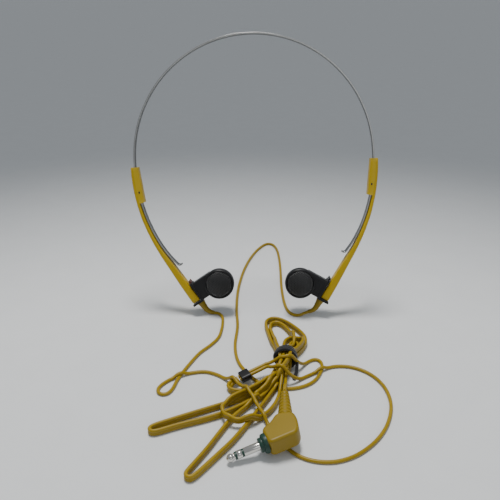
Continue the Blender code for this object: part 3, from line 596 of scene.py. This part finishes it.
def make_bud(name):
    side, body, place = SIDES[name], "arm_" + name, bud_matrix(name)
    edge = BUD_RADIUS
    lip = GRILLE_RADIUS - 0.0003
    ring = lathe([
        (lip, dome_height(lip) + 0.00002), (lip + 0.0001, dome_height(lip) + 0.00012),
        (GRILLE_RADIUS + 0.0001, 0.00425), (0.0083, 0.0040), (edge, 0.0036), (edge, 0.0028),
        (0.0072, 0.0028), (0.0072, 0.0034), (lip, 0.0038),
    ], 96, closed=True)
    piece = make_piece("bud_ring_" + name, ring, place @ FRONT, black, body, angle=50)
    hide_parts("front_ring_" + name)
    make_grille(name, place, body)
    # Pale specks on the upper half of the grille: painted highlight.
    make_highlight_specks(name, place, body, 7 + side)

    shell = lathe([
        (0.00842, 0.00278), (edge, 0.0026), (edge, 0.0006), (0.00838, -0.0010), (0.0080, -0.0027),
        (0.0073, -0.0040), (0.0062, -0.0051), (0.0046, -0.0058), (0.0024, -0.00615), (0, -0.0062),
        (0, -0.0052), (0.0036, -0.0048), (0.0058, -0.0037), (0.0069, -0.0020), (0.0073, -0.0003),
        (0.0073, 0.00278),
    ], 96)
    piece = make_piece("bud_shell_" + name, shell, place @ FRONT, black, body, angle=50)
    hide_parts("rear_housing_" + name)

    # the neck: flat-sided, its near end hollowed to sit against the round housing
    reach = edge + 0.00005
    bm = bmesh.new()
    rings = []
    for share in np.linspace(0, 1, 9):
        shape = rounded([(NECK_DEPTH[0], NECK_HEIGHT[0]), (NECK_DEPTH[1], NECK_HEIGHT[0]),
                         (NECK_DEPTH[1], NECK_HEIGHT[1]), (NECK_DEPTH[0], NECK_HEIGHT[1])],
                        0.0012, 5)
        loop = []
        for y, z in shape:
            start = math.sqrt(max(reach ** 2 - z * z, 1e-9))
            x = start + (PLATE_FACE - 0.00005 - start) * share
            loop.append(bm.verts.new((side * x, y, z)))
        rings.append(loop)
    join_rings(bm, rings)
    piece = make_piece("bud_neck_" + name, bm, place, black, body, angle=50)
    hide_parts("neck_" + name)

    # the mount plate with its lip, and the small tab that closes it
    face, back = PLATE_FACE, PLATE_FACE + PLATE_THICKNESS
    outline = [(face, -0.0030), (0.0195, -0.0030), (0.0195, -0.0018), (back, -0.0018),
               (back, 0.0092), (face, 0.0092)]
    flat = slab(rounded([(side * x, z) for x, z in outline], 0.0002, 2), -0.0038, 0.0038)
    piece = make_piece("bud_plate_" + name, flat, place @ FRONT, black, body)
    soften(piece, 0.0002, 2)
    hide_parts("mount_plate_" + name)
    tab = slab(rounded([(side * x, z) for x, z in [
        (face + 0.0001, 0.0093), (back, 0.0093), (back, 0.0108), (face + 0.0004, 0.0112)]],
        0.0003, 3), -0.0026, 0.0026)
    piece = make_piece("bud_tab_" + name, tab, place @ FRONT,
                       tab_brown if side < 0 else black, body)
    soften(piece, 0.0002, 2)

    # the strain relief, with shallow rings moulded round it
    path, heading, step = [(RELIEF_AXIS, 0.0, -0.0033)], 0.0, 0.00125 / 8
    for i in range(66):
        if 28 <= i < 60:
            heading += math.radians(11.5 / 8)
        x, y, z = path[-1]
        path.append((x - step * math.sin(heading), y, z - step * math.cos(heading)))
    scales = []
    for i in range(len(path)):
        share = i / (len(path) - 1)
        groove = 0.05 * max(0.0, math.sin(share * 2 * math.pi * 5.5)) if 0.1 < share < 0.9 else 0.0
        head = 1.08 if share < 0.08 else 1.0
        scales.append((1.0 - 0.5 * share) * head - groove)
    relief = sweep([(side * x, y, z) for x, y, z in path], circle(0.0021, 32), up=(0, 1, 0),
                   scales=scales)
    # The relief takes the darker PVC copy: painted shade.
    piece = make_piece("bud_relief_" + name, relief, place, pvc_shaded_copy, body, angle=60)
    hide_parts("strain_relief_" + name)


def finish_internals():
    looks = {"damper_cloth": cloth, "driver_frame": driver, "magnet": driver, "yoke": driver,
             "voice_coil": copper, "diaphragm": film, "terminal_board": board,
             "inner_lead": copper}
    for node, look in looks.items():
        for name in SIDES:
            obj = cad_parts[node + "_" + name]
            obj.data.materials.clear()
            obj.data.materials.append(look)


# ---- Plug, slider and tie ----
def make_plug():
    pieces = []

    def add(name, bm, place, look, slot, *nodes, angle=45):
        piece = make_piece(name, bm, place, look, "root", angle=angle)
        if nodes:
            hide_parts(*nodes)
        pieces.append(piece)
        return piece

    outline = [(-7.0, -4.5), (5.2, -4.5), (7.2, -2.2), (8.6, 2.6), (8.6, 6.9), (1.7, 9.7),
               (-1.9, 6.4), (-7.0, 4.6)]
    outline = rounded([(0.001 * x, 0.001 * y) for x, y in outline], 0.0026, 8)
    # The plug shell takes the darker PVC copy: painted shade.
    body = add("plug_shell", slab(outline, -PLUG_HALF_DEPTH, PLUG_HALF_DEPTH), PLUG, pvc_shaded_copy, "cord_pvc",
               "plug_body", angle=60)
    soften(body, 0.0013, 6, 50.0)

    top, rings = PLUG_RELIEF_LENGTH, 7
    profile = [(0, top + 0.0003), (0.0017, top + 0.0003)]
    for i in range(rings * 10 + 1):
        share = 1 - i / (rings * 10)
        dip = 0.00042 * max(0.0, math.sin(share * 2 * math.pi * rings)) ** 0.6
        profile.append((0.0034 - 0.0015 * share - dip * (1.0 - 0.3 * share), top * share))
    profile += [(0.0033, -0.0006), (0, -0.0006)]
    seat = PLUG @ place_matrix(PLUG_SEAT, (math.radians(-90), 0, PLUG_SPLAY))
    # The ribs take the darker PVC copy: painted shade.
    add("plug_ribs", lathe(profile, 48), seat, pvc_shaded_copy, "cord_pvc", "plug_relief", angle=70)

    collar = [(0, 0.0102), (0.0019, 0.0102), (0.0028, 0.0101), (0.0030, 0.0098), (0.0030, 0.0088),
              (0.0037, 0.0086), (0.0040, 0.0083), (0.0041, 0.0079), (0.0041, 0.0068), (0, 0.0068)]
    add("collar", lathe(collar, 64), SHAFT, insulator, "insulator", "plug_collar")
    r = SHAFT_RADIUS
    add("sleeve", lathe([(0, 0.01695), (r - 0.0001, 0.01695), (r, 0.01685), (r, 0.0101),
                         (0, 0.0101)], 48), SHAFT, nickel, "nickel", "plug_sleeve")
    add("ring_contact", lathe([(0, 0.01995), (r - 0.0001, 0.01995), (r, 0.01985), (r, 0.0179),
                               (r - 0.0001, 0.0178), (0, 0.0178)], 48), SHAFT, nickel, "nickel",
        "plug_ring")
    for name, start, end in (("insulator_rear", 0.01692, 0.01782),
                             ("insulator_front", 0.01992, 0.02082)):
        add(name + "_band", lathe([(0, end), (r - 0.00008, end), (r - 0.00008, start),
                                   (0, start)], 48), SHAFT, insulator, "insulator", name)
    tip = [(0, 0.0244), (0.0004, 0.02436), (0.0009, 0.0241), (0.0014, 0.0236), (0.00168, 0.0230),
           (r, 0.0225), (0.0016, 0.0221), (0.00125, 0.0216), (0.00115, 0.0213), (0.00125, 0.0210),
           (r - 0.0002, 0.0208), (0, 0.0208)]
    add("tip_contact", lathe(tip, 48), SHAFT, nickel, "nickel", "plug_tip", angle=60)
    return pieces


def make_slider():
    low, high = 0.001 * Vector(SLIDER_LOW), 0.001 * Vector(SLIDER_HIGH)
    way = (high - low).normalized()
    turn = (0, -math.asin(way.z), math.atan2(way.y, way.x))
    seat = Matrix.Translation(LEAD_PLACE) @ place_matrix(low + SLIDER_START * way, turn)
    bm = bmesh.new()
    outer = rounded([(-0.0030, -0.0017), (0.0030, -0.0017), (0.0030, 0.0017),
                     (-0.0030, 0.0017)], 0.0012, 6)
    inner = rounded([(-0.0021, -0.00115), (0.0021, -0.00115), (0.0021, 0.00115),
                     (-0.0021, 0.00115)], 0.0009, 6)
    loops = [[bm.verts.new((x, y, z)) for y, z in shape]
             for x, shape in ((-0.0024, outer), (0.0024, outer), (0.0024, inner), (-0.0024, inner))]
    for k in range(4):
        a, b = loops[k], loops[(k + 1) % 4]
        for i in range(len(outer)):
            j = (i + 1) % len(outer)
            bm.faces.new((a[i], a[j], b[j], b[i]))
    piece = make_piece("slider_shell", bm, seat, black, "slider")
    soften(piece, 0.00025, 3, 60)
    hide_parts("cord_slider")


def make_tie():
    """One elastic cord wound round the bundle in two layers, with a tail hanging in front."""
    seat = Matrix.Translation(LEAD_PLACE) @ place_matrix(
        TIE_PLACE, (math.radians(90), 0, math.radians(-6)))
    strand, turns, steps, points = 0.00075, 9, 36, []
    inner, outer = TIE_BORE + 0.0003, TIE_RADIUS - strand - 0.0001
    for i in range(turns * steps + 1):
        angle, turn = 2 * math.pi * i / steps, i / steps
        way = math.asin(math.sin(math.pi * (turn - turns / 2) / 4.5)) / (math.pi / 2)
        layer = 0.5 - 0.5 * math.cos(math.pi * min(1.0, max(0.0, (turn - 4.0) / 1.0)))
        radius = inner + (outer - inner) * layer
        radius += 0.00008 * math.sin(5 * angle + turn)
        height = way * (TIE_WIDTH / 2 - strand - 0.0002) + 0.00022 * math.sin(angle + 2 * turn)
        points.append((radius * math.cos(angle), radius * math.sin(angle), height))
    bm = sweep(points, circle(strand, 10))
    piece = make_piece("tie_winding", bm, seat, elastic, "root", angle=70)
    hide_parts("cord_tie")
    tail = [(24.2, -46, 6.6), (24.8, -48.8, 5.0), (24.6, -51.4, 2.8), (23.8, -54, 1.3),
            (23, -55.6, 1.1)]
    path = smooth_route([tuple(0.001 * v for v in p) for p in tail], 0.0004)
    bm = sweep([tuple(p) for p in path], circle(CORD_RADIUS, 12))
    ends = make_piece("tie_tail", bm, Matrix.Translation(LEAD_PLACE), elastic, "root", angle=70)
    return [piece, ends]


# ---- The lead ----
def settle(cords, rounds=260):
    """Lay cords down: each pass rests on the surface, or on the passes that it crosses.

    A cord is its points, the half height between its strands' middles, and a mask of the
    points that are held. All lengths are metres.
    """
    start = np.vstack([cord[0] for cord in cords])
    half = np.concatenate([np.full(len(cord[0]), cord[1]) for cord in cords])
    held = np.concatenate([cord[2] for cord in cords])
    owner = np.concatenate([np.full(len(cord[0]), k) for k, cord in enumerate(cords)])
    free = np.where(held, 0.0, 1.0)
    inside = np.ones(len(start), bool)
    inside[0] = inside[-1] = False
    inside[1:] &= owner[1:] == owner[:-1]
    inside[:-1] &= owner[1:] == owner[:-1]
    place = start.copy()
    count = np.arange(len(place))
    touch = 2 * CORD_RADIUS
    for step in range(rounds):
        if step % 20 == 0:
            flat = place[:, :2]
            near = np.sum((flat[:, None] - flat[None]) ** 2, axis=2) < (2.2 * touch) ** 2
            apart = (owner[:, None] != owner[None]) | (np.abs(count[:, None] - count[None]) > 7)
            one, two = np.nonzero(np.triu(near & apart, 1))
        place[:, 2] -= 0.00003 * free
        ahead, behind = np.roll(place, -1, 0), np.roll(place, 1, 0)
        bend = ((ahead + behind) / 2 - place) * (free * inside)[:, None]
        place[:, 2] += 0.4 * bend[:, 2]
        place[:, :2] += 0.1 * bend[:, :2] + 0.03 * (start - place)[:, :2] * free[:, None]
        way = ahead - behind
        way /= np.maximum(np.linalg.norm(way, axis=1), 1e-9)[:, None]
        gap = place[two] - place[one]
        wide = np.linalg.norm(gap[:, :2], axis=1)
        stack = half[one] + half[two]
        over = np.sqrt(np.maximum(touch ** 2 - wide ** 2, 0))
        lift = np.where(wide < touch, stack + over - np.abs(gap[:, 2]), 0.0)
        clear = np.maximum(np.abs(gap[:, 2]) - stack, 0)
        part_to = np.sqrt(np.maximum(touch ** 2 - clear ** 2, 0)) - wide
        crossing = np.abs(np.sum(way[one, :2] * way[two, :2], axis=1)) < 0.92
        lift = np.where((lift > 0) & (crossing | (lift < part_to)), lift, 0.0)
        part_to = np.where((part_to > 0) & (lift == 0) & ~crossing, part_to, 0.0)
        move = np.zeros_like(gap)
        move[:, 2] = np.where(gap[:, 2] < 0, -1, 1) * lift
        move[:, :2] = gap[:, :2] / np.maximum(wide, 1e-9)[:, None] * part_to[:, None]
        share = np.maximum(free[one] + free[two], 1e-9)
        shift, hits = np.zeros_like(place), np.zeros(len(place))
        for index, sign in ((one, -1), (two, 1)):
            part = move * (sign * free[index] / share)[:, None]
            np.add.at(shift, index, part)
            np.add.at(hits, index, (np.abs(part).sum(axis=1) > 0).astype(float))
        place += 0.8 * shift / np.maximum(hits, 1)[:, None]
        place[:, 2] = np.where(held, place[:, 2], np.maximum(place[:, 2], CORD_RADIUS + half))
    ends = np.cumsum([len(cord[0]) for cord in cords])[:-1]
    return np.split(place, ends)


def route_points(route, spacing):
    return smooth_route([tuple(0.001 * v for v in point) for point in route], spacing)


def make_cord(name, path, section, rolls=None, body="root"):
    bm = sweep([tuple(p) for p in path], section, rolls=rolls)
    piece = make_piece(name, bm, Matrix.Translation(LEAD_PLACE), pvc, body, angle=75)
    length = float(np.sum(np.linalg.norm(np.diff(path, axis=0), axis=1)))
    return piece, [tuple(Vector(p) + LEAD_PLACE) for p in path], length


def make_lead(tie_pieces):
    spacing, strand = 0.0010, CORD_RADIUS
    left, right = route_points(ROUTE_LEFT, spacing), route_points(ROUTE_RIGHT, spacing)
    trunk = route_points(ROUTE_TRUNK + ROUTE_HANK + ROUTE_TAIL, spacing)
    cords = []
    for path, rise, first, last in ((left, 0.0, 4, 16), (right, 0.0, 4, 16),
                                    (trunk, strand, 4, 8)):
        held = np.zeros(len(path), bool)
        held[:first] = held[-last:] = True
        if rise:
            tie = TIE_PLACE
            held |= (np.abs(path[:, 1] - tie.y) < 0.003) & (np.abs(path[:, 0] - tie.x) < 0.0045)
        cords.append((path, rise, held))
    left, right, trunk = settle(cords)
    # A blend parts space by a plane, not along the cord. The right branch comes back past its
    # own start, so its first stretch is a piece of its own, and the rest rides on the root.
    blend_from, blend_to, cut = 3, 34, 42
    for name, path in (("left", left), ("right", right)):
        first = path if name == "left" else path[:cut + 1]
        title = "branch_left" if name == "left" else "branch_right_start"
        piece, points, length = make_cord(title, first, circle(strand, 14), body=None)
        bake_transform(piece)
        if name == "right":
            piece, points, length = make_cord("branch_right", path[cut:], circle(strand, 14))
        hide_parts("cord_" + name)
    untwist = 9   # points over which the strip turns from flat, in the slider, to upright
    rolls = [math.pi / 2 * max(0.0, 1 - i / untwist) for i in range(len(trunk))]
    piece, points, length = make_cord("trunk_twin", trunk, figure_eight(strand), rolls)
    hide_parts("cord_trunk", "cord_tail", "hank_loops", "hank_neck", "hank_fan",
                "hank_left_fold", "hank_front_fold")


# ---- Room ----
def make_lamp(name, kind, place, aim, power, colour):
    light = bpy.data.lights.new(name, kind)
    light.energy = power
    light.color = colour
    lamp = bpy.data.objects.new(name, light)
    bpy.context.scene.collection.objects.link(lamp)
    lamp.location = place
    lamp.rotation_euler = (Vector(aim) - Vector(place)).to_track_quat("-Z", "Y").to_euler()
    return light


def make_room():
    mesh = bpy.data.meshes.new("floor")
    bm = bmesh.new()
    bmesh.ops.create_grid(bm, x_segments=2, y_segments=2, size=6.0)
    bm.to_mesh(mesh)
    bm.free()
    floor = bpy.data.objects.new("floor", mesh)
    bpy.context.scene.collection.objects.link(floor)
    floor.location = (0, 3.0, -0.00003)
    paint = material("floor_board", (0.74, 0.755, 0.765), 0.62, 0, 0.012, 220, 0.01, 0.05)
    mesh.materials.append(paint)

    world = bpy.data.worlds.new("studio")
    bpy.context.scene.world = world
    world.use_nodes = True
    world.node_tree.nodes["Background"].inputs["Color"].default_value = (0.90, 0.95, 1.0, 1)
    world.node_tree.nodes["Background"].inputs["Strength"].default_value = 0.365

    fill = make_lamp("front_fill", "AREA", (0.20, -0.62, 0.40), (0.0, -0.03, 0.03), 0.35,
                     (0.95, 0.98, 1.0))
    fill.shape = "DISK"
    fill.size = 0.40
    pool = make_lamp("pool", "SPOT", (-0.08, 0.10, 1.05), (0.0, -0.19, 0.0), 40.0,
                     (1.0, 0.985, 0.96))
    pool.spot_size = math.radians(44)
    pool.spot_blend = 0.5
    pool.shadow_soft_size = 0.16


def make_camera():
    distance, height, azimuth, pitch = 0.293, 0.180, math.radians(2.0), math.radians(25.0)
    data = bpy.data.cameras.new("camera")
    data.sensor_width = 36.0
    data.lens = 43.2
    data.clip_start = 0.01
    camera = bpy.data.objects.new("camera", data)
    bpy.context.scene.collection.objects.link(camera)
    camera.location = LEAD_PLACE + Vector((distance * math.sin(azimuth),
                                           -distance * math.cos(azimuth), height))
    camera.rotation_euler = (math.pi / 2 - pitch, 0, azimuth)
    bpy.context.scene.camera = camera


make_camera()
make_room()
make_headband()
for arm_name in SIDES:
    make_arm(arm_name)
    make_bud(arm_name)
finish_internals()
plug_pieces = make_plug()
make_slider()
make_lead(make_tie())
